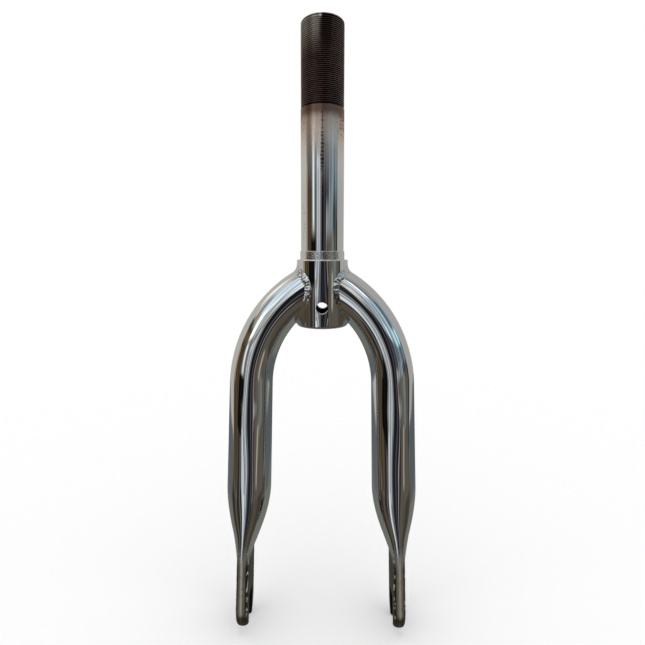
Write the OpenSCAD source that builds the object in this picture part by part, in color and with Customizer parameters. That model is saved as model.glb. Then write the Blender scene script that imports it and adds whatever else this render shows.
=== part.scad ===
// Small threaded bicycle fork of welded steel tube, chrome plated.
// The origin is on the steering axis, at the shoulder that the lower headset race sits on.
// +Z runs up the steerer, +X to the right as seen from the front, and the front is at -Y.

/* [Steerer tube] */
// Outer diameter of the steerer tube
steerer_d = 25.4; // [25.4:0.1:26]
// Bore of the steerer tube, which takes the handlebar stem
steerer_bore = 22.2; // [20:0.1:22.6]
// Height of the steerer's rim above the shoulder
steerer_h = 134.5; // [90:0.5:220]
// Length of the threaded stretch below the rim
thread_l = 48; // [20:1:70]
// Diameter over the crests of the thread, a little under the tube's
thread_d = 25.2; // [24.6:0.1:25.3]
// Turns of the thread in an inch of its length
thread_turns = 24; // [20:1:26]
// Depth of the thread below its crests
thread_depth = 0.55; // [0.3:0.05:0.6]
// Bevel on the rim, so that a nut can start on the thread
rim_bevel = 0.7; // [0.2:0.1:0.9]

/* [Crown sleeve] */
// Outer diameter of the sleeve that joins the legs to the steerer
sleeve_d = 30.5; // [29:0.1:34]
// Height of the sleeve below the shoulder
sleeve_h = 39.8; // [38:0.1:48]
// Rounding of the sleeve's lower edge
sleeve_edge_r = 1.6; // [0.6:0.1:2]
// Diameter of the turned seat for the lower headset race
seat_d = 26.4; // [26.2:0.1:27]
// Height of that seat above the shoulder
seat_h = 5.2; // [3:0.1:8]
// Diameter of the brake bolt's hole
brake_hole_d = 7; // [5:0.1:8]
// Depth of the brake bolt's axis below the shoulder
brake_drop = 27.6; // [24:0.1:32]

/* [Legs] */
// Outer diameter of the leg tube
leg_d = 25; // [23:0.1:25.4]
// Wall of the leg tube
leg_wall = 2.2; // [1.5:0.1:2.5]
// Distance between the two straight legs, axis to axis
leg_spread = 83.2; // [78:0.1:90]
// Radius of the shoulder bend, to the tube's axis
bend_r = 65; // [58:0.5:70]
// Depth below the shoulder at which the leg axes cross the steering axis
leg_drop = 12.6; // [11:0.1:14]
// Forward lean of the legs from the steering axis, which gives the rake
lean = 11; // [4:0.5:13]
// Length of round tube between the bend and the flattening
straight_l = 57; // [40:1:120]
// Length over which the tube is pressed flat
flatten_l = 37.5; // [30:0.5:60]

/* [Flat ends] */
// Thickness of the flat end, where the pressed walls meet
end_t = 6.4; // [5.2:0.1:7]
// Width of the flat end, front to back
end_w = 25; // [24:0.5:36]
// Length of the flat end below the flattening
end_l = 38.5; // [36:0.5:50]
// Shift of the flat end outwards from the axis of its leg
end_shift = 1.3; // [0:0.1:3]
// Width of the slot for the wheel's axle
slot_w = 10; // [9:0.1:10.5]
// Height of the axle's centre above the tip of the flat end
axle_h = 12.5; // [11:0.5:20]

/* [Weld beads] */
// Reach of a weld bead over the surfaces that it joins
bead_r = 1.5; // [1:0.1:2.2]

/* [Hidden] */
$fn = 96;
cut = 60;                                       // reach of a tool that cuts right through
steerer_foot = sleeve_h - 2;                    // the steerer ends a little inside the sleeve
thread_pitch = 25.4 / thread_turns;
crest_share = 0.12;                             // the crest's flat, as a share of the pitch
leg_x = leg_spread / 2;
bend_angle = acos((bend_r - leg_x) / bend_r);   // from the steering axis down to the straight leg
bend_drop = micron(bend_r * sin(bend_angle));   // height of that bend, along the leaning leg
flat_z = -bend_drop - straight_l;               // where the flattening starts, along the leg
end_z = flat_z - flatten_l;                     // where the flat end starts
tip_z = end_z - end_l;
ring_sides = 48;
flatten_steps = 12;
ledge = 0.01;                                   // the flattening stands this far inside its neighbours
cavity_gap = 0.5;                               // half gap between the walls where the hollow ends
top_bevel = 0.4;                                // bevel on the sleeve's upper edge
chrome = [0.80, 0.81, 0.82];
bare_steel = [0.20, 0.15, 0.13];
weld_chrome = [0.70, 0.71, 0.72];

// The nearest whole micron, so that the stretches of a leg meet face to face
function micron(x) = round(1000 * x) / 1000;

// How far the tube is pressed, 0 to 1, at the fraction t of the flattening. It starts gently
// and meets the flat end at a crease.
function pressed(t) = 1 - cos(90 * t);
function mix(a, b, s) = a + (b - a) * s;

// A section of the flattening: a slot shape with round ends, which is a circle at t = 0.
// The wall is taken off all round for the hollow.
function press_section(t, wall) =
    let (
        s = pressed(t),
        half_t = mix(leg_d / 2, end_t / 2, s) - wall - ledge,
        half_w = mix(leg_d / 2, end_w / 2, s) - wall - ledge,
        flat = half_w - half_t
    )
    [for (i = [0 : ring_sides - 1])
        let (a = 360 * (i + 0.5) / ring_sides)
        [end_shift * s + half_t * cos(a), half_t * sin(a) + sign(sin(a)) * flat, flat_z - flatten_l * t]];

// The fraction of the flattening at which the two inner walls are cavity_gap from the middle
cavity_end = acos(1 - (leg_d / 2 - leg_wall - cavity_gap) / (leg_d / 2 - end_t / 2)) / 90;

// A closed solid through rings of equal size, from the first to the last
module loft(rings) {
    n = len(rings[0]);
    last = len(rings) - 1;
    polyhedron(
        points = [for (ring = rings) each ring],
        faces = [
            [for (i = [n - 1 : -1 : 0]) i],
            for (k = [0 : last - 1], i = [0 : n - 1])
                let (a = k * n + i, b = k * n + (i + 1) % n)
                each [[a, b, a + n], [b, b + n, a + n]],
            [for (i = [0 : n - 1]) last * n + i]
        ]
    );
}

// Everything inside works in the plane of the leaning legs
module leaning() {
    translate([0, 0, -leg_drop]) rotate([-lean, 0, 0]) children();
}

// The bend of a leg, as solid bar of radius r, from the steering axis to the straight leg
module bend(r) {
    translate([leg_x - bend_r, 0, -bend_drop])
        rotate([90, 0, 0])
            rotate_extrude(angle = bend_angle) translate([bend_r, 0]) circle(r = r);
}

// The round and pressed stretches of a leg, as solid bar that is smaller by wall all round
module leg_bar(wall, press_end) {
    r = leg_d / 2 - wall;
    bend(r);
    translate([leg_x, 0, flat_z]) cylinder(r = r, h = straight_l);
    translate([leg_x, 0, 0])
        loft([for (k = [0 : flatten_steps]) press_section(press_end * k / flatten_steps, wall)]);
}

// The flat end: a slot section along the leg, trimmed to a round tip seen from the side
module flat_end() {
    half_w = end_w / 2;
    half_t = end_t / 2;
    translate([leg_x + end_shift, 0, 0]) intersection() {
        translate([0, 0, tip_z]) linear_extrude(height = end_l) union() {
            square([end_t, end_w - end_t], center = true);
            for (side = [-1, 1]) translate([0, side * (half_w - half_t)]) circle(r = half_t);
        }
        rotate([90, 0, 90]) linear_extrude(height = end_t, center = true) union() {
            translate([0, tip_z + half_w]) circle(r = half_w);
            translate([-half_w, tip_z + half_w]) square([end_w, end_l - half_w]);
        }
    }
}

// The axle's slot, open at the tip, with a round top for the axle to seat in
module axle_slot() {
    translate([leg_x + end_shift, 0, tip_z + axle_h]) {
        rotate([0, 90, 0]) cylinder(d = slot_w, h = 2 * end_t, center = true);
        translate([-end_t, -slot_w / 2, -axle_h - end_t]) cube([2 * end_t, slot_w, axle_h + end_t]);
    }
}

// The space that the sleeve takes, endless, which mitres the legs and the beads
module sleeve_space() {
    translate([0, 0, -cut]) cylinder(d = sleeve_d, h = 2 * cut);
}

// The hole for the brake bolt, through both walls of the sleeve and the steerer
module brake_hole() {
    translate([0, 0, -brake_drop]) rotate([90, 0, 0]) cylinder(d = brake_hole_d, h = cut, center = true);
}

// The threaded stretch as solid bar from z = 0 up, with a ring groove for each turn of the thread
module threaded_stretch() {
    r = thread_d / 2;
    half_groove = thread_pitch * (1 - crest_share) / 2;
    turns = floor((thread_l - rim_bevel) / thread_pitch);
    rotate_extrude() polygon([
        [0, 0], [r, 0],
        for (k = [0 : turns - 1])
            let (z = (k + 0.5) * thread_pitch)
            each [[r, z - half_groove], [r - thread_depth, z], [r, z + half_groove]],
        [r, thread_l - rim_bevel], [r - rim_bevel, thread_l], [0, thread_l]
    ]);
}

module steer_tube() {
    thread_z = steerer_h - thread_l;
    difference() {
        union() {
            color(chrome) translate([0, 0, -steerer_foot])
                cylinder(d = steerer_d, h = steerer_foot + thread_z);
            color(bare_steel) translate([0, 0, thread_z]) threaded_stretch();
        }
        translate([0, 0, -cut]) cylinder(d = steerer_bore, h = steerer_h + 2 * cut);
        brake_hole();
    }
}

module crown_sleeve() {
    r = sleeve_d / 2;
    e = sleeve_edge_r;
    color(chrome) difference() {
        rotate_extrude() union() {
            polygon([
                [0, -sleeve_h], [r - e, -sleeve_h], [r - e, e - sleeve_h], [r, e - sleeve_h],
                [r, -top_bevel], [r - top_bevel, 0], [seat_d / 2, 0], [seat_d / 2, seat_h], [0, seat_h]
            ]);
            translate([r - e, e - sleeve_h]) circle(r = e);
        }
        translate([0, 0, -cut]) cylinder(d = steerer_d, h = 2 * cut);
        brake_hole();
    }
}

// The right leg. The left one is its mirror image.
module leg() {
    color(chrome) difference() {
        leaning() difference() {
            union() {
                leg_bar(0, 1);
                flat_end();
            }
            leg_bar(leg_wall, cavity_end);
            axle_slot();
        }
        sleeve_space();
    }
}

// The bead fills the corner round the joint, as far as bead_r from the leg and from the sleeve
module weld_bead() {
    color(weld_chrome) difference() {
        intersection() {
            leaning() bend(leg_d / 2 + bead_r);
            translate([0, 0, -cut]) cylinder(r = sleeve_d / 2 + bead_r, h = 2 * cut);
        }
        leaning() bend(leg_d / 2);
        sleeve_space();
    }
}

module right_leg() leg();
module left_leg() mirror([1, 0, 0]) leg();
module right_weld_bead() weld_bead();
module left_weld_bead() mirror([1, 0, 0]) weld_bead();

steer_tube();
crown_sleeve();
left_leg();
right_leg();
left_weld_bead();
right_weld_bead();
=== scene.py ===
import math

import bpy
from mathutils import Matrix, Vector, noise


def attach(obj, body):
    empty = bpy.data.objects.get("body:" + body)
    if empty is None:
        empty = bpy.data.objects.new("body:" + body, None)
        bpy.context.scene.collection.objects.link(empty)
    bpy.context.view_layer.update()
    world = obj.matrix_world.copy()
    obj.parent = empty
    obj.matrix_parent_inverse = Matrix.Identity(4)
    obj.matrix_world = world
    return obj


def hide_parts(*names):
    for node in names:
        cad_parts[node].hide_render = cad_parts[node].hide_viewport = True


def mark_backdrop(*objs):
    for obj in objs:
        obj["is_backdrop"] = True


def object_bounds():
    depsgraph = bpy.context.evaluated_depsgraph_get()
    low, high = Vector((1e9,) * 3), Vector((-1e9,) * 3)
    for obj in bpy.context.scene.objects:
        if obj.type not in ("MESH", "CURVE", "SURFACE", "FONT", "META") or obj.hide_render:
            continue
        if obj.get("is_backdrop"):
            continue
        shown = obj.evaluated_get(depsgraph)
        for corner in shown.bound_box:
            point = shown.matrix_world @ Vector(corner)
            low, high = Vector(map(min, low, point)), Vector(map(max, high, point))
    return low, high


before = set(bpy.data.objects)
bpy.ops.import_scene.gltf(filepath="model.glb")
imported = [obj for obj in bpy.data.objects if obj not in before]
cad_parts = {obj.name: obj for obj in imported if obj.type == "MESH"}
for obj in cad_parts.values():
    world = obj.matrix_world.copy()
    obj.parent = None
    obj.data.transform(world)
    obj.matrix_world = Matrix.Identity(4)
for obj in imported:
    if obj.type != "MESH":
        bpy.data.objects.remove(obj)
cadLow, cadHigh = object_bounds()

mm = 0.001
tiny = 0.001 * mm  # points nearer than this count as one


def choose(*objects):
    # selects these and nothing else, with the first as the active one
    bpy.ops.object.select_all(action="DESELECT")
    for obj in objects:
        obj.select_set(True)
    bpy.context.view_layer.objects.active = objects[0]


def edit(obj):
    choose(obj)
    bpy.ops.object.mode_set(mode="EDIT")
    bpy.ops.mesh.select_all(action="SELECT")


def leave(name=None):
    bpy.ops.mesh.select_all(action="SELECT")
    bpy.ops.mesh.normals_make_consistent(inside=False)
    bpy.ops.object.mode_set(mode="OBJECT")
    obj = bpy.context.object
    if name:
        obj.name = obj.data.name = name
    return obj


def settle(obj):
    # a finished piece sits at the origin, unrotated and unscaled
    choose(obj)
    bpy.ops.object.transform_apply(location=True, rotation=True, scale=True)


def apply(obj, kind, **values):
    settle(obj)
    mod = obj.modifiers.new(kind.lower(), kind)
    for key, value in values.items():
        setattr(mod, key, value)
    bpy.ops.object.modifier_apply(modifier=mod.name)


def cut(obj, tool):
    apply(obj, "BOOLEAN", operation="DIFFERENCE", object=tool, solver="EXACT")
    bpy.data.objects.remove(tool)


def smooth(obj, angle):
    # edges that turn by more than angle, in degrees, stay sharp
    choose(obj)
    bpy.ops.object.shade_smooth_by_angle(angle=math.radians(angle))


def turned(name, sides, rings):
    # rings are (radius, height) pairs from one end of the profile to the other, closed into a ring
    r, z = rings[0]
    bpy.ops.mesh.primitive_circle_add(vertices=sides, radius=r, fill_type="NOTHING", location=(0, 0, z))
    settle(bpy.context.object)
    edit(bpy.context.object)
    for r2, z2 in rings[1:]:
        bpy.ops.mesh.extrude_region_move(TRANSFORM_OT_translate={"value": (0, 0, z2 - z)})
        bpy.ops.transform.resize(value=(r2 / r, r2 / r, 1), center_override=(0, 0, z2))
        r, z = r2, z2
    bpy.ops.mesh.select_all(action="DESELECT")
    bpy.ops.mesh.select_mode(type="EDGE")
    bpy.ops.mesh.select_non_manifold(extend=False)
    bpy.ops.mesh.bridge_edge_loops()
    return leave(name)


def lofted(name, rings, closed=False):
    # a skin through rings of points; the first and last are capped unless it closes on itself
    n = len(rings[0])
    count = len(rings)
    faces = []
    for k in range(count if closed else count - 1):
        a, b = k * n, (k + 1) % count * n
        faces += [(a + i, a + (i + 1) % n, b + (i + 1) % n, b + i) for i in range(n)]
    if not closed:
        faces += [tuple(range(n)), tuple(range((count - 1) * n, count * n))]
    data = bpy.data.meshes.new(name)
    data.from_pydata([p for ring in rings for p in ring], [], faces)
    obj = bpy.data.objects.new(name, data)
    bpy.context.scene.collection.objects.link(obj)
    edit(obj)
    return leave()


def rod(radius, depth, location, rotation, sides=96):
    bpy.ops.mesh.primitive_cylinder_add(vertices=sides, radius=radius, depth=depth, location=location,
                                        rotation=rotation)
    settle(bpy.context.object)
    return bpy.context.object


def mirrored(obj, name):
    new = obj.copy()
    new.data = obj.data.copy()
    bpy.context.scene.collection.objects.link(new)
    edit(new)
    bpy.ops.transform.resize(value=(-1, 1, 1), center_override=(0, 0, 0))
    return leave(name)


# steerer tube

steerer = {
    "r": 12.7 * mm, "bore": 11.1 * mm, "foot": -37.8 * mm, "rim": 134.5 * mm, "sides": 160,
    "threadL": 48 * mm, "crest": 12.6 * mm, "root": 12.05 * mm, "pitch": 25.4 / 24 * mm,
    # the thread's ridge: half its width and its start above the neck in pitches, and how deep it is sunk
    "ridgeHalf": 0.48, "ridgeStart": 0.7, "ridgeSunk": 0.15 * mm,
    # bevels at the neck and at the rim, and at the bore's mouth across and along the tube
    "neckBevel": 0.4 * mm, "rimBevel": 0.7 * mm, "boreBevel": (0.2 * mm, 0.3 * mm),
    # the lip at the rim: how far below it starts, in bevels, and how far it stays inside the crests
    "lipStart": 1.6, "lipIn": 0.1 * mm,
    # the brake bolt's hole
    "holeR": 3.5 * mm, "holeZ": -27.6 * mm, "drillL": 60 * mm,
}
neck = steerer["rim"] - steerer["threadL"]


def drill(s):
    # the cutter for the brake bolt's hole, which goes through both walls
    return rod(s["holeR"], s["drillL"], (0, 0, s["holeZ"]), (math.pi / 2, 0, 0))


def makeRidge(s):
    # the thread is one sharp ridge wound round the tube
    turns = int((s["threadL"] - s["rimBevel"]) / s["pitch"]) - 1
    bpy.ops.mesh.primitive_circle_add(vertices=3, radius=1, fill_type="NOTHING")
    ridge = bpy.context.object
    inner = s["root"] - s["ridgeSunk"]
    half, start = s["ridgeHalf"] * s["pitch"], s["ridgeStart"] * s["pitch"]
    for vert, (x, z) in zip(ridge.data.vertices, [(s["crest"], 0), (inner, -half), (inner, half)]):
        vert.co = (x, 0, z + neck + start)
    apply(ridge, "SCREW", axis="Z", angle=math.tau, screw_offset=s["pitch"], iterations=turns,
          steps=s["sides"], render_steps=s["sides"], use_merge_vertices=False, use_normal_calculate=False)
    edit(ridge)
    bpy.ops.mesh.select_mode(type="EDGE")
    bpy.ops.mesh.select_non_manifold(extend=False)
    bpy.ops.mesh.edge_face_add()
    return leave("ridge")


def makeSteerer(s):
    rim, bevel = s["rim"], s["rimBevel"]
    mouthAcross, mouthAlong = s["boreBevel"]
    tube = turned("steerer", s["sides"], [
        (s["r"], s["foot"]), (s["r"], neck), (s["root"], neck + s["neckBevel"]),
        (s["root"], rim - s["lipStart"] * bevel), (s["crest"] - s["lipIn"], rim - bevel),
        (s["crest"] - bevel, rim), (s["bore"] + mouthAcross, rim), (s["bore"], rim - mouthAlong),
        (s["bore"], s["foot"]),
    ])
    ridge = makeRidge(s)
    cut(tube, drill(s))
    smooth(tube, angle=35)
    smooth(ridge, angle=20)
    choose(tube, ridge)
    bpy.ops.object.join()
    return tube


steererPiece = makeSteerer(steerer)
print("steerer", len(steererPiece.data.polygons))

# crown sleeve

sleeve = {
    "r": 15.25 * mm, "bore": 12.7 * mm, "foot": -39.8 * mm, "seatR": 13.2 * mm, "seatH": 5.2 * mm,
    "sides": 160,
    # the foot's rounding and its steps, the shoulder's bevel, and the easing of the seat's edges
    "edge": 1.6 * mm, "edgeSteps": 8, "bevel": 0.4 * mm, "ease": 0.3 * mm,
    # the rounding of the brake hole's mouths and its steps, and how near to them an edge has to be
    "holeEase": 0.7 * mm, "holeSteps": 4, "near": 0.05 * mm,
}


def easeHole(piece, s):
    # rounds the mouths of the brake hole, where the plating was polished over the edge
    reach = steerer["holeR"] + s["near"]
    edit(piece)
    bpy.ops.mesh.select_all(action="DESELECT")
    bpy.ops.mesh.select_mode(type="EDGE")
    bpy.ops.object.mode_set(mode="OBJECT")
    verts = piece.data.vertices
    for edge in piece.data.edges:
        ends = [verts[i].co for i in edge.vertices]
        edge.select = all(math.hypot(p.x, p.z - steerer["holeZ"]) < reach and
                          abs(math.hypot(p.x, p.y) - s["r"]) < s["near"] for p in ends)
    bpy.ops.object.mode_set(mode="EDIT")
    bpy.ops.mesh.bevel(offset=s["holeEase"], segments=s["holeSteps"], profile=0.5, affect="EDGES",
                       clamp_overlap=True)
    leave()


def makeSleeve(s):
    e, r, ease = s["edge"], s["r"], s["ease"]
    quarter = [math.pi / 2 * k / s["edgeSteps"] for k in range(s["edgeSteps"] + 1)]
    arc = [(r - e + e * math.sin(a), s["foot"] + e - e * math.cos(a)) for a in quarter]
    piece = turned("sleeve", s["sides"], [(s["bore"], s["foot"])] + arc + [
        (r, -s["bevel"]), (r - s["bevel"], 0), (s["seatR"] + ease, 0), (s["seatR"], ease),
        (s["seatR"], s["seatH"] - ease), (s["seatR"] - ease, s["seatH"]), (s["bore"], s["seatH"]),
    ])
    cut(piece, drill(steerer))
    easeHole(piece, s)
    smooth(piece, angle=30)
    return piece


sleevePiece = makeSleeve(sleeve)
print("sleeve", len(sleevePiece.data.polygons))

# legs

leg = {
    "r": 12.5 * mm, "x": 41.6 * mm, "bendR": 65 * mm, "drop": 12.6 * mm, "lean": math.radians(11),
    "straight": 57 * mm, "flatten": 37.5 * mm, "endL": 38.5 * mm, "endT": 6.4 * mm, "endW": 25 * mm,
    "shift": 1.3 * mm, "slotW": 10 * mm, "axleH": 12.5 * mm,
    # points round the tube, and rings along its bend, straight, flattening, flat end and tip
    "sides": 128, "rings": (70, 30, 40, 6, 24),
    # the section turns oval over the first of these shares of the flattening, and back over the last
    "oval": (0.25, 0.3),
    # the last ring lies just short of the tip, and past this share of the tip's height the faces draw in
    "tipReach": 0.995, "drawFrom": 0.8, "draw": 1.25,
    # waves that bending and pressing left: depth, length, and where and how fast they grow from the least
    "wave": 0.15 * mm, "waveL": 21 * mm, "waveZ": -45 * mm, "waveGrow": 50 * mm, "waveLeast": 0.2,
    # the straight part has narrower ones, long down the leg, that make the reflections sway
    "sway": 0.8 * mm, "swayL": (11 * mm, 11 * mm, 30 * mm),
    # where those start and end, and over what length they come and go
    "swayZ": (-47 * mm, -165 * mm), "swayFade": 40 * mm,
    # the cutters: length and sides of the mitre's, and width, depth and sides of the slot's
    "mitreL": 200 * mm, "mitreSides": 192, "cutAcross": 20 * mm, "cutDeep": 30 * mm, "cutSides": 64,
}
leg["bendA"] = math.acos((leg["bendR"] - leg["x"]) / leg["bendR"])
leg["bendDrop"] = leg["bendR"] * math.sin(leg["bendA"])
leg["flatZ"] = -leg["bendDrop"] - leg["straight"]
leg["endZ"] = leg["flatZ"] - leg["flatten"]
leg["tipZ"] = leg["endZ"] - leg["endL"]


def leaning(x, y, z):
    # from the plane of the leg to the frame
    c, s = math.cos(leg["lean"]), math.sin(leg["lean"])
    return (x, y * c + z * s, -y * s + z * c - leg["drop"])


def onBend(a, psi):
    # a point of the bent tube, a along the bend and psi round the tube from its outer side
    reach = leg["bendR"] + leg["r"] * math.cos(psi)
    x = leg["x"] - leg["bendR"] + reach * math.cos(a)
    return leaning(x, leg["r"] * math.sin(psi), reach * math.sin(a) - leg["bendDrop"])


def allRound(s):
    # the angles of a ring's points
    return [math.tau * (i + 0.5) / s["sides"] for i in range(s["sides"])]


def section(x, z, halfT, halfW, oval=0):
    # slot-shaped section with round edges, or an oval of the same size
    flat = max(halfW - halfT, 0)
    ring = []
    for a in allRound(leg):
        y = (halfT + flat * oval) * math.sin(a) + math.copysign(flat * (1 - oval), math.sin(a))
        ring.append(leaning(x + halfT * math.cos(a), y, z))
    return ring


def eased(t):
    # 0 up to 1, level at both ends
    t = min(max(t, 0), 1)
    return t * t * (3 - 2 * t)


def waved(ring, s):
    # moves a ring in and out by slow waves, which grow down the leg and leave its two sides true
    centre = sum((Vector(p) for p in ring), Vector()) / len(ring)
    grown = min(max((s["waveZ"] - centre.z) / s["waveGrow"], s["waveLeast"]), 1)
    high, low = s["swayZ"]
    straight = eased((high - centre.z) / s["swayFade"]) * eased((centre.z - low) / s["swayFade"])
    out = []
    for p in map(Vector, ring):
        outward = (p - centre).normalized()
        depth = s["wave"] * grown * noise.noise(p / s["waveL"])
        depth += s["sway"] * straight * noise.noise([a / b for a, b in zip(p, s["swayL"])])
        out.append(tuple(p - outward * depth * (1 - outward.x ** 2)))
    return out


def makeLeg(s):
    r, x, end = s["r"], s["x"], s["x"] + s["shift"]
    bend, straight, flatten, flat, tip = s["rings"]
    rings = [[onBend(s["bendA"] * (1 - k / bend), psi) for psi in allRound(s)] for k in range(bend + 1)]
    for k in range(1, straight + 1):
        rings.append(section(x, -s["bendDrop"] - s["straight"] * k / straight, r, r))
    for k in range(1, flatten + 1):
        t = k / flatten
        p = 1 - math.cos(math.pi / 2 * t)  # how far the tube is pressed
        oval = min(t / s["oval"][0], (1 - t) / s["oval"][1], 1)
        rings.append(section(x + s["shift"] * p, s["flatZ"] - s["flatten"] * t,
                             r + (s["endT"] / 2 - r) * p, r + (s["endW"] / 2 - r) * p, oval))
    rings = [waved(ring, s) for ring in rings]
    tipR = s["endW"] / 2
    top = s["endZ"] - (s["endL"] - tipR)
    for k in range(1, flat + 1):
        rings.append(section(end, s["endZ"] + (top - s["endZ"]) * k / flat, s["endT"] / 2, tipR))
    for k in range(1, tip + 1):
        a = math.pi / 2 * s["tipReach"] * k / tip
        halfW = tipR * math.cos(a)
        # the faces draw in a little at the very tip
        halfT = min(s["endT"] / 2, halfW) * (1 - s["draw"] * max(0, math.sin(a) - s["drawFrom"]))
        rings.append(section(end, top - tipR * math.sin(a), halfT, halfW))
    return lofted("rightLeg", rings)


def slotTool(s):
    # a rod for the axle's seat, with its lower half drawn out past the tip
    tool = rod(s["slotW"] / 2, s["cutAcross"], (0, 0, 0), (0, math.pi / 2, 0), s["cutSides"])
    for vert in tool.data.vertices:
        if vert.co.z < -tiny:
            vert.co.z = -s["cutDeep"]
            vert.co.y = math.copysign(s["slotW"] / 2, vert.co.y)
    tool.rotation_euler = (-s["lean"], 0, 0)
    tool.location = leaning(s["x"] + s["shift"], 0, s["tipZ"] + s["axleH"])
    settle(tool)
    return tool


def cutLeg(piece, s):
    # the mitre that fits the leg to the sleeve, then the axle's slot
    cut(piece, rod(sleeve["r"], s["mitreL"], (0, 0, 0), (0, 0, 0), s["mitreSides"]))
    cut(piece, slotTool(s))
    edit(piece)
    bpy.ops.mesh.remove_doubles(threshold=tiny)
    leave()


rightLeg = makeLeg(leg)
cutLeg(rightLeg, leg)
smooth(rightLeg, angle=40)
leftLeg = mirrored(rightLeg, "leftLeg")
smooth(leftLeg, angle=40)
print("legs", len(rightLeg.data.polygons))

# weld beads

weld = {
    # points round the joint and across the bead, and halvings in the search for the seam
    "steps": 420, "across": 14, "halvings": 40,
    # reach over the sleeve and over the leg, at the top of the joint, at its sides and at its foot
    "onSleeve": (3.4 * mm, 1.7 * mm, 1.8 * mm), "onLeg": (2.6 * mm, 2.3 * mm, 1.8 * mm),
    # 0 is hollow, 0.5 flat and 1 full
    "full": (0.10, 0.66, 0.15),
    # lumps, ripples and uneven width, which are strongest just above the sides and fall off from there
    "lump": 0.7 * mm, "lumpL": 1.9 * mm, "ripples": 50, "ripple": 0.3 * mm, "uneven": 0.22,
    "unevenL": 2.6 * mm, "roughAt": 0.12, "roughFall": 1.6,
    # how deep the bead's hidden corner and its two rims are sunk in what they join
    "cornerSunk": 0.6 * mm, "rimSunk": 0.35 * mm,
}


def seam(psi):
    # the point of the leg's surface, psi round the tube, that lies on the sleeve
    near, far = math.radians(85), math.radians(10)  # along the bend, inside the sleeve and well outside
    for _ in range(weld["halvings"]):
        mid = (near + far) / 2
        p = onBend(mid, psi)
        if p[0] > 0 and math.hypot(p[0], p[1]) > sleeve["r"]:
            far = mid
        else:
            near = mid
    return Vector(onBend((near + far) / 2, psi))


def around(three, psi):
    # one value out of three, for the top, the sides and the foot of the joint
    top, side, foot = three
    c = math.cos(psi)
    return side + (top - side) * max(c, 0) ** 2 + (foot - side) * max(-c, 0) ** 2


def beyond(p, psi):
    # the point beyond p, straight out of the leg
    x, y, z = p
    c, s = math.cos(leg["lean"]), math.sin(leg["lean"])
    height = y * s + (z + leg["drop"]) * c
    a = math.atan2(height + leg["bendDrop"], x - leg["x"] + leg["bendR"])
    reach = leg["bendR"] + 2 * leg["r"] * math.cos(psi)
    return Vector(leaning(leg["x"] - leg["bendR"] + reach * math.cos(a), 2 * leg["r"] * math.sin(psi),
                          reach * math.sin(a) - leg["bendDrop"]))


def makeBead(name, s, seed):
    angles = [math.tau * k / s["steps"] for k in range(s["steps"])]
    points = [seam(a) for a in angles]
    rings = []
    for k, (psi, p) in enumerate(zip(angles, points)):
        along = (points[(k + 1) % s["steps"]] - points[k - 1]).normalized()
        fromSleeve = Vector((p.x, p.y, 0)).normalized()
        fromLeg = (beyond(p, psi) - p).normalized()
        onSleeve = fromSleeve.cross(along)
        onSleeve *= math.copysign(1, onSleeve.dot(fromLeg))
        onLeg = fromLeg.cross(along)
        onLeg *= math.copysign(1, onLeg.dot(fromSleeve))
        rough = max(0, 1 - (math.cos(psi) - s["roughAt"]) ** 2 * s["roughFall"])
        wide = 1 + s["uneven"] * rough * noise.noise(p / s["unevenL"] + Vector((seed, 0, 0)))
        a = p + onSleeve * around(s["onSleeve"], psi) * wide
        b = p + onLeg * around(s["onLeg"], psi) * wide
        crown = p + (a - p + b - p) * around(s["full"], psi)
        ripple = s["ripple"] * abs(math.sin(s["ripples"] * psi / 2)) * rough
        ring = [p - (fromSleeve + fromLeg) * s["cornerSunk"], a - fromSleeve * s["rimSunk"]]
        for i in range(s["across"] + 1):
            u = i / s["across"]
            q = a * (1 - u) ** 2 + crown * 2 * u * (1 - u) + b * u * u
            swell = math.sin(math.pi * u)
            lump = s["lump"] * noise.noise(q / s["lumpL"] + Vector((0, seed, 0))) * rough
            q += (fromSleeve + fromLeg).normalized() * (swell * (ripple + lump))
            ring.append(q)
        ring.append(b - fromLeg * s["rimSunk"])
        rings.append([tuple(q) for q in ring])
    return lofted(name, rings, closed=True)


rightBead = makeBead("rightBead", weld, seed=3.0)
otherBead = makeBead("otherBead", weld, seed=11.0)
leftBead = mirrored(otherBead, "leftBead")
bpy.data.objects.remove(otherBead)
for bead in (rightBead, leftBead):
    smooth(bead, angle=60)
print("beads", len(rightBead.data.polygons))

pieces = {"steer_tube": steererPiece, "crown_sleeve": sleevePiece, "left_leg": leftLeg,
          "right_leg": rightLeg, "left_weld_bead": leftBead, "right_weld_bead": rightBead}
for node, piece in pieces.items():
    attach(piece, "root")
    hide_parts(node)
    "weld_chrome" if "bead" in node else "chrome"

# materials


class Sock:
    # a value in a shader, so that sums on it add Math nodes
    def __init__(self, mat, out):
        self.mat, self.out = mat, out

    def math(self, operation, *others):
        return self.mat.sock("ShaderNodeMath", {"operation": operation}, dict(enumerate((self, *others))))

    def __add__(self, other):
        return self.math("ADD", other)

    def __sub__(self, other):
        return self.math("SUBTRACT", other)

    def __rsub__(self, other):
        return (self * -1).math("ADD", other)

    def __mul__(self, other):
        return self.math("MULTIPLY", other)

    def __truediv__(self, other):
        return self.math("DIVIDE", other)

    def __abs__(self):
        return self.math("ABSOLUTE")

    __radd__, __rmul__ = __add__, __mul__

    def ramp(self, low, high):
        # 0 at low and 1 at high, smooth between, and level beyond them; low may be the larger
        settings = {"interpolation_type": "SMOOTHSTEP"}
        values = {0: self, 1: low, 2: high} if low < high else {0: self, 1: high, 2: low, 3: 1, 4: 0}
        return self.mat.sock("ShaderNodeMapRange", settings, values)

    def band(self, low, high, soft):
        # 1 between low and high, 0 beyond them, with edges as wide as soft
        return self.ramp(low - soft / 2, low + soft / 2) * self.ramp(high + soft / 2, high - soft / 2)


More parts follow.
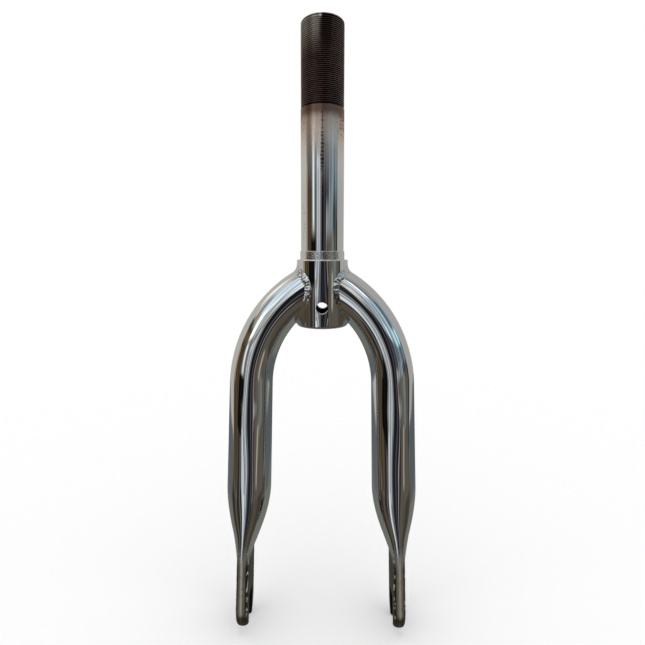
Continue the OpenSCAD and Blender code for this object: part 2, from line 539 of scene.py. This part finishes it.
class Mat:
    # a material, or the world's node tree, that starts empty
    def __init__(self, name, tree=None):
        if tree is None:
            self.mat = bpy.data.materials.new(name)
            self.mat.use_nodes = True
            tree = self.mat.node_tree
        self.tree = tree
        tree.nodes.clear()

    def node(self, kind, settings=None, inputs=None):
        node = self.tree.nodes.new(kind)
        for key, value in (settings or {}).items():
            setattr(node, key, value)
        for key, value in (inputs or {}).items():
            if isinstance(value, Sock):
                self.tree.links.new(value.out, node.inputs[key])
            else:
                node.inputs[key].default_value = value
        return node

    def sock(self, kind, settings=None, inputs=None, output=0):
        return Sock(self, self.node(kind, settings, inputs).outputs[output])

    def place(self):
        # the object's own coordinates in millimetres, as a vector and as x, y and z
        coord = self.sock("ShaderNodeTexCoord", output="Object")
        coord = self.sock("ShaderNodeVectorMath", {"operation": "SCALE"}, {0: coord, "Scale": 1000})
        split = self.node("ShaderNodeSeparateXYZ", inputs={0: coord})
        return coord, *(Sock(self, split.outputs[i]) for i in range(3))

    def noise(self, vector, length, detail=3, stretch=(1, 1, 1)):
        # clouds about length across, 0 to 1
        spread = self.sock("ShaderNodeVectorMath", {"operation": "MULTIPLY"}, {0: vector, 1: stretch})
        values = {"Vector": spread, "Scale": 1 / length, "Detail": detail}
        return self.sock("ShaderNodeTexNoise", inputs=values)

    def mix(self, factor, a, b):
        return self.sock("ShaderNodeMix", {"data_type": "RGBA"}, {0: factor, 6: a, 7: b}, output=2)

    def metal(self, colour, rough, metallic=1, **more):
        values = {"Base Color": colour, "Metallic": metallic, "Roughness": rough, **more}
        self.out(self.sock("ShaderNodeBsdfPrincipled", inputs=values))
        return self.mat

    def bump(self, height, depth):
        return self.sock("ShaderNodeBump", inputs={"Height": height, "Distance": depth})

    def out(self, shader, kind="ShaderNodeOutputMaterial"):
        self.node(kind, inputs={0: shader})


def tint(r, g, b):
    # a colour as read from a picture, 0 to 255, in the linear values that shaders take
    def linear(v):
        v /= 255
        return v / 12.92 if v <= 0.04045 else ((v + 0.055) / 1.055) ** 2.4
    return (linear(r), linear(g), linear(b), 1)


chromeLook = {"colour": tint(232, 234, 236), "rough": 0.03}
steelLook = {
    # the thread is dark bare steel; its roots are painted darker as shade and its crests lighter as
    # highlight, and lit is the crests' painted lit colour
    "root": tint(36, 28, 28), "crest": tint(228, 198, 194), "lit": tint(255, 246, 236), "rough": 0.3,
    "haze": tint(218, 196, 182), "band": tint(134, 106, 94), "burnt": tint(117, 93, 84),
    "rust": tint(120, 88, 70), "mark": tint(70, 60, 52), "pit": tint(40, 36, 32),
    "bore": tint(44, 38, 34), "boreRough": 0.55,
    # where each starts and is full, in millimetres below the thread
    "hazeZ": (38, 6), "bandZ": (14, 0), "burntZ": (8, 2.5), "rustZ": (16, 5), "dullZ": (36, 8),
    "filmZ": (50, 24),
    # roughness of the haze, strength of the band, and how much light the thin film scatters
    "dull": 0.28, "bandMix": 0.45, "film": 0.12,
    # the dotted line: its place across, the length of a dot with its gap, its two ends and its strength
    "markX": 0.1, "markL": 2.1, "markZ": (36, 4), "markMix": 0.92,
    # the pits, across the tube and above the shoulder
    "pitX": (-11.6, -9.6), "pitZ": (12, 32),
    # the thread, across the tube and below the rim: where its crests are painted lit, where they are
    # painted darker as shade, and one painted highlight
    "litLeftX": (-0.3, -2.5), "litLeftZ": (24, 4), "shadedRightX": (0.1, 5.2), "shadedRightZ": (22, 8),
    "highlightX": (-1.7, -0.3), "highlightZ": (3.2, 1.2),
}


def steererLook(s):
    mat = Mat("steererChrome")
    coord, x, y, z = mat.place()
    r = (x * x + y * y).math("SQRT")
    top, rim = neck / mm, steerer["rim"] / mm

    def fade(height, span, start=top):
        # 0 at the first depth below the start and 1 at the second; top is the thread's lower end
        return height.ramp(start - span[0], start - span[1])

    # brown haze that fades down from the thread, mottled
    haze = fade(z + mat.noise(coord, 6, stretch=(1, 1, 0.3)) * 10 - 5, s["hazeZ"])
    base = mat.mix(haze, chromeLook["colour"], s["haze"])
    base = mat.mix(fade(z + mat.noise(coord, 3) * 5 - 2, s["bandZ"]) * s["bandMix"], base, s["band"])
    base = mat.mix(fade(z + mat.noise(coord, 2) * 2 - 1, s["burntZ"]), base, s["burnt"])
    # rust spots at the sides, most of them on the right
    spots = mat.noise(coord, 1.6, 5).ramp(0.42, 0.62) * (x.ramp(6, 11.5) + x.ramp(-8, -12) * 0.6)
    base = mat.mix(spots * fade(z + mat.noise(coord, 7) * 8, s["rustZ"]), base, s["rust"])
    rough = fade(z + mat.noise(coord, 6) * 6 - 3, s["dullZ"]) * s["dull"] + chromeLook["rough"]
    # a dotted line down the front, finer towards the thread
    dots = abs(((z + mat.noise(coord, 2.5) * 2.4) / s["markL"]).math("FRACT") - 0.5).ramp(0.42, 0.12)
    ragged = abs(x - s["markX"] + (mat.noise(coord, 1.2) - 0.5) * 1.6)
    line = (ragged + z.ramp(top - 26, top - 10) * 0.45).ramp(1.1, 0.7) * y.ramp(0, -1)
    line = line * z.band(top - s["markZ"][0], top - s["markZ"][1], 3) * (dots * 0.75 + 0.25)
    base = mat.mix(line * s["markMix"], base, s["mark"])
    # small pits on the left
    pits = mat.noise(coord, 0.8).ramp(0.60, 0.68) * x.band(*s["pitX"], 0.5) * z.band(*s["pitZ"], 4)
    base = mat.mix(pits, base, s["pit"])
    # dark bare thread, its crests painted lit, as painted highlight, towards the rim on the left
    litLeft = fade(z, s["litLeftZ"], rim) * x.ramp(*s["litLeftX"])
    crest = mat.mix(litLeft, s["crest"], s["lit"])
    # right of the middle the crests near the rim are painted darker, as painted shade, beside one painted
    # highlight on the rim
    shadedRight = x.band(*s["shadedRightX"], 0.8) * fade(z, s["shadedRightZ"], rim)
    rimHighlight = x.band(*s["highlightX"], 0.5) * fade(z, s["highlightZ"], rim)
    crestStrength = (mat.noise(coord, 5) * 0.8 + 0.45) * (1 - shadedRight * 0.5)
    crestR, boreR = steerer["crest"] / mm, steerer["bore"] / mm
    # crests painted lighter than the roots: painted highlight on the crests, painted shade in the roots
    steel = mat.mix(r.ramp(crestR - 0.24, crestR - 0.1) * crestStrength, s["root"], crest)
    steel = mat.mix(litLeft * 0.34 + rimHighlight, steel, crest)
    thread = z.ramp(top - 0.1, top + 0.3)
    base = mat.mix(thread, base, steel)
    rough = rough * (1 - thread) + thread * s["rough"]
    # the bore is unplated
    inside = r.ramp(boreR + 0.5, boreR + 0.2)
    base = mat.mix(inside, base, s["bore"])
    film = fade(z, s["filmZ"]) * (1 - thread) * s["film"]
    return mat.metal(base, rough * (1 - inside) + inside * s["boreRough"], 1 - film)


# added roughness of the film in streaks, of the bore and of the seat, and the seat's mottling
seatLook = {"film": 0.05, "bore": 0.4, "seat": 0.1, "mottleL": 1.1, "mottle": 0.25 * mm}


def sleeveLook(s):
    mat = Mat("sleeveChrome")
    coord, x, y, z = mat.place()
    r = (x * x + y * y).math("SQRT")
    boreR = sleeve["bore"] / mm
    inside = r.ramp(boreR + 0.2, boreR + 0.05)
    base = mat.mix(inside, chromeLook["colour"], steelLook["bore"])
    film = mat.noise(coord, 9, stretch=(1, 1, 0.25)).ramp(0.45, 0.75)
    # the turned seat for the race is duller and mottled
    seat = z.ramp(-0.2, 0.2)
    mottle = mat.noise(coord, s["mottleL"], 2) * seat
    rough = film * s["film"] + chromeLook["rough"] + inside * s["bore"] + seat * s["seat"]
    return mat.metal(base, rough, Normal=mat.bump(mottle, s["mottle"]))


endLook = {
    # the end's bright middle colour is a painted reflection streak and its dark one a painted band beside
    # it, the face colour is painted shade, and the chip colour serves painted glints and the rubbed rear
    # edge
    "edge": tint(138, 130, 116), "middle": tint(214, 208, 196), "dark": tint(50, 43, 35),
    "face": tint(78, 71, 60), "tip": tint(60, 51, 42), "glintAndRubbed": tint(240, 238, 230),
    "slotColour": tint(26, 24, 20), "rough": 0.26, "brush": 0.05 * mm,
    # where the dull finish starts and is full above the flat end, and the stain above the tip, in mm
    "dullZ": (9, -5), "tipZ": (12, 8),
    # how far from its middle plane the narrow edge takes a bright painted reflection streak and a dark
    # painted band, and where the face takes painted shade
    "middleX": (0.9, 0.3), "darkX": (1.5, 2.4), "faceX": (3.0, 3.18),
    # where the painted glints and the rubbed rear edge are, across the width and from the middle plane
    "glintY": (8.4, 9.2), "glintX": (2.5, 3.3), "rubbedY": (9, 11.5), "rubbedX": (-2.6, -3),
}


def legLook(s):
    mat = Mat("legChrome")
    coord, x, y, z = mat.place()
    lean = leg["lean"]
    z = z + leg["drop"] / mm
    down = y * math.sin(lean) + z * math.cos(lean)
    across = y * math.cos(lean) - z * math.sin(lean)
    end, tip = leg["endZ"] / mm, leg["tipZ"] / mm
    slotHalf = leg["slotW"] / 2 / mm
    slotTop = tip + leg["axleH"] / mm + slotHalf
    # the flat end is dull, with a bright painted reflection streak down the middle of its narrow edge, a
    # dark painted band beside it, its faces painted darker as shade, and painted glints on the corners
    # where they meet
    dull = (down + mat.noise(coord, 5) * 4 - 2).ramp(end + s["dullZ"][0], end + s["dullZ"][1])
    outward = abs(x) - (leg["x"] + leg["shift"]) / mm
    side = abs(outward)
    stain = mat.noise(coord, 2.2, 5)
    metal = mat.mix(side.ramp(*s["middleX"]) * 0.8, s["edge"], s["middle"])
    metal = mat.mix(side.ramp(*s["darkX"]), metal, s["dark"])
    metal = mat.mix(side.ramp(*s["faceX"]) * 0.5, metal, s["face"])
    metal = mat.mix(stain.ramp(0.5, 0.75) * 0.3, metal, s["tip"])
    foot = (down + mat.noise(coord, 2) * 3 - 1.5).ramp(tip + s["tipZ"][0], tip + s["tipZ"][1])
    metal = mat.mix(foot * 0.9, metal, s["tip"])
    # painted glints on the corners where the faces meet the edges
    rim = abs(across).ramp(*s["glintY"]) * side.band(*s["glintX"], 0.3)
    glints = mat.noise(coord, 1.3, 2, stretch=(1, 1, 0.5)).ramp(0.56, 0.6) * rim
    # the rear edge of the inner face is rubbed bright in places
    rear = across.band(*s["rubbedY"], 1) * outward.ramp(*s["rubbedX"])
    rubbed = mat.noise(coord, 2.5, 2).ramp(0.5, 0.6) * rear
    metal = mat.mix(glints * down.ramp(tip + 6, tip + 9) + rubbed * 0.5, metal, s["glintAndRubbed"])
    # the walls of the slot are coloured near black, and rougher
    slot = abs(across).ramp(slotHalf + 0.3, slotHalf + 0.1) * down.ramp(slotTop + 0.2, slotTop)
    metal = mat.mix(slot, metal, s["slotColour"])
    base = mat.mix(dull, chromeLook["colour"], metal)
    film = mat.noise(coord, 12).ramp(0.5, 0.8)
    rough = dull * (s["rough"] + stain * 0.2) + slot * 0.3 + film * 0.04 + chromeLook["rough"]
    brush = mat.noise(coord, 0.5, 2, stretch=(1, 1, 0.15)) * dull
    return mat.metal(base, rough, 1 - dull * 0.3, Normal=mat.bump(brush, s["brush"]))


weldLook = {"colour": tint(228, 229, 230), "crevice": tint(96, 80, 66), "rough": 0.07}


def beadLook(s):
    mat = Mat("weldChrome")
    coord, *_ = mat.place()
    dirt = mat.noise(coord, 1.1, 4).ramp(0.56, 0.68)
    return mat.metal(mat.mix(dirt, s["colour"], s["crevice"]), dirt * 0.25 + s["rough"])


looks = {"steer_tube": steererLook(steelLook), "crown_sleeve": sleeveLook(seatLook),
         "leg": legLook(endLook), "weld": beadLook(weldLook)}
for node, piece in pieces.items():
    piece.data.materials.clear()
    piece.data.materials.append(looks.get(node) or looks["weld" if "bead" in node else "leg"])
print("materials")

# studio: white floor and world, and the room that the chrome mirrors

room = {
    "radius": 4.0,
    # the chrome takes a fifth of the light, which this gives back
    "strength": 1.22,
    # azimuth and elevation limits in degrees, softness and colour, each patch over those before it;
    # azimuth 0 is behind the camera, and + is to the right
    "walls": [
        (-200, 200, -90, 90, 10, (150, 151, 148)),
        # left wall and its lamps
        (-200, -88, -16, 90, 8, (174, 171, 165)),
        (-122, -98, 32, 50, 10, (240, 235, 228)),
        (-100, -68, 32, 42, 6, (160, 160, 154)),
        (-84, -56, 43, 56, 6, (226, 234, 237)),
        # pale blue wall high on the left
        (-70, 0, 28, 80, 6, (188, 202, 209)),
        (-50, -28, 28, 36, 5, (208, 221, 228)),
        (-14, 2, 14, 26, 4, (198, 202, 200)),
        # wooden cupboard on the left
        (-92, -56, -17, 24, 4, (72, 60, 45)),
        (-90, -82, -6, 12, 3, (132, 116, 92)),
        (-88, -62, 16, 22, 4, (108, 90, 62)),
        (-96, -74, 21, 28, 4, (66, 60, 52)),
        (-86, -58, 27, 32, 4, (168, 158, 142)),
        # table
        (-88, 90, -90, -16, 4, (80, 72, 61)),
        (56, 78, -50, -14, 6, (62, 58, 49)),
        (-90, -70, -50, -18, 6, (48, 45, 38)),
        # bright window and what stands before it
        (-56, -4, 0, 17, 3, (120, 116, 110)),
        (-42, -4, -28, 2, 4, (112, 108, 102)),
        (-56, -42, -26, 0, 4, (48, 45, 40)),
        (-52, -42, 3, 16, 3, (188, 201, 203)),
        (-56, -38, 18, 31, 3, (240, 240, 237)),
        (-38, -16, 16, 24, 3, (160, 168, 166)),
        (-28, -19, -26, 13, 2, (190, 200, 206)),
        (-24, -21, -11, 11, 1, (96, 78, 60)),
        (-16, -11, -15, 13, 2, (168, 176, 182)),
        (-30, -24, -30, -3, 3, (206, 216, 224)),
        (-38, -32, -34, -10, 3, (40, 36, 32)),
        (-62, -35, -7, 2, 2, (14, 14, 15)),
        # right wall
        (88, 200, -13, 90, 6, (160, 158, 154)),
        # blue-grey window side on the right
        (20, 92, 14, 42, 6, (148, 163, 171)),
        (30, 88, 3, 17, 5, (98, 112, 120)),
        (28, 56, -2, 9, 4, (128, 134, 136)),
        (56, 86, -4, 7, 4, (66, 74, 78)),
        (56, 78, 16, 24, 3, (170, 213, 222)),
        (31, 42, 17, 23, 2, (186, 198, 206)),
        (64, 80, 25, 42, 5, (82, 102, 118)),
        (24, 44, 36, 56, 5, (190, 192, 194)),
        (43, 53, 41, 54, 3, (250, 251, 252)),
        (53, 80, 42, 58, 4, (132, 137, 143)),
        (12, 19, 25, 34, 2, (245, 242, 238)),
        # table, at the right and behind
        (22, 84, -18, 2, 3, (86, 80, 71)),
        (40, 52, -11, 1, 3, (104, 100, 90)),
        (80, 88, -16, 4, 2, (46, 46, 42)),
        (88, 200, -90, -13, 4, (84, 89, 90)),
        (88, 200, -90, -26, 5, (108, 109, 102)),
        (-200, -90, -90, -16, 4, (90, 93, 94)),
        (-200, -90, -90, -26, 5, (104, 105, 99)),
        # dark shapes at and over the camera
        (-5, 20, -30, 18, 2, (24, 31, 40)),
        (9, 14, -26, 16, 2, (68, 55, 52)),
        (23, 28, -26, -2, 2, (36, 37, 36)),
        (43, 49, -12, -4, 2, (162, 158, 146)),
        (53, 66, -7, 2, 3, (104, 110, 110)),
        (20, 36, 6, 17, 4, (62, 69, 76)),
        (-3, 8, 13, 30, 3, (60, 58, 58)),
    ],
    # thin upright things that stand about the room: width in degrees and its share of their height,
    # how dark and how bright
    "clutter": 6.5, "slim": 0.07, "dark": 0.4, "bright": 1.55,
    # where they stand: azimuth limits and softness, the elevations over which they appear, and the
    # least of them below that
    "left": (-92, 24, 8), "leftRise": (-34, -6), "right": (24, 88, 8), "rightRise": (-6, 6), "least": 0.3,
}


def makeRoom(s):
    bpy.ops.mesh.primitive_uv_sphere_add(segments=64, ring_count=32, radius=s["radius"], location=(0, 0, 0))
    dome = bpy.context.object
    dome.name = "room"
    mat = Mat("room")
    _, x, y, z = mat.place()
    azimuth = x.math("ARCTAN2", y * -1) * math.degrees(1)
    elevation = (z / (s["radius"] / mm)).math("ARCSINE") * math.degrees(1)
    colour = tint(*s["walls"][0][-1])
    for a0, a1, e0, e1, soft, rgb in s["walls"][1:]:
        mask = azimuth.band(a0, a1, soft) * elevation.band(e0, e1, soft)
        colour = mat.mix(mask, colour, tint(*rgb))
    flat = mat.sock("ShaderNodeCombineXYZ", inputs={0: azimuth, 1: elevation})
    clutter = mat.noise(flat, s["clutter"], stretch=(1, s["slim"], 1)).ramp(0.36, 0.64)
    light = clutter * (s["bright"] - s["dark"]) + s["dark"]
    amount = elevation.ramp(*s["leftRise"]) * azimuth.band(*s["left"])
    rise = elevation.ramp(*s["rightRise"]) * (1 - s["least"]) + s["least"]
    amount = amount + rise * azimuth.band(*s["right"])
    light = (light - 1) * amount + 1
    colour = mat.sock("ShaderNodeVectorMath", {"operation": "SCALE"}, {0: colour, "Scale": light})
    mat.out(mat.sock("ShaderNodeEmission", inputs={"Color": colour, "Strength": s["strength"]}))
    dome.data.materials.append(mat.mat)
    dome.visible_camera = dome.visible_diffuse = dome.visible_shadow = dome.visible_transmission = False
    return dome


def makeFloor():
    bpy.ops.mesh.primitive_plane_add(size=60, location=(0, 0, cadLow.z))
    floor = bpy.context.object
    floor.name = "floor"
    mat = Mat("floor")
    mat.out(mat.sock("ShaderNodeBsdfDiffuse", inputs={"Color": (1, 1, 1, 1)}))
    floor.data.materials.append(mat.mat)
    # the chrome mirrors the room's table instead
    floor.visible_glossy = False
    return floor


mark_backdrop(makeRoom(room), makeFloor())

world = bpy.context.scene.world or bpy.data.worlds.new("World")
bpy.context.scene.world = world
world.use_nodes = True
sky = Mat("sky", world.node_tree)
white = sky.sock("ShaderNodeBackground", inputs={"Color": (1, 1, 1, 1), "Strength": 1})
sky.out(white, "ShaderNodeOutputWorld")
print("studio")

# camera, at the photograph's angle

view = {
    "distance": 264.3 * mm, "height": 6.0 * mm,
    # degrees
    "azimuth": 0.93, "pitch": 5.64, "roll": -0.10, "yaw": 0.19,
    # focal length, middle of the lens and width of the frame in the photograph's pixels
    "focal": 438.9, "centre": (323.8, 293.0), "frame": 645,
    # the camera's own film width, which sets no size here
    "sensor": 36,
}


def makeCamera(s):
    data = bpy.data.cameras.new("camera")
    cam = bpy.data.objects.new("camera", data)
    bpy.context.scene.collection.objects.link(cam)
    data.sensor_width = s["sensor"]
    data.lens = s["sensor"] * s["focal"] / s["frame"]
    data.shift_x = (s["frame"] / 2 - s["centre"][0]) / s["frame"]
    data.shift_y = (s["centre"][1] - s["frame"] / 2) / s["frame"]
    a = math.radians(s["azimuth"])
    cam.location = (s["distance"] * math.sin(a), -s["distance"] * math.cos(a), s["height"])
    turns = (90 - s["pitch"], s["roll"], s["azimuth"] - s["yaw"])
    cam.rotation_euler = [math.radians(turn) for turn in turns]
    data.clip_start, data.clip_end = 0.01, 100
    bpy.context.scene.camera = cam


makeCamera(view)
bpy.context.scene.view_settings.view_transform = "Standard"

lookLow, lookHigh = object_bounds()
for name, low, high in (("cad", cadLow, cadHigh), ("look", lookLow, lookHigh)):
    print(name, [round(v / mm, 2) for v in (*low, *high)])
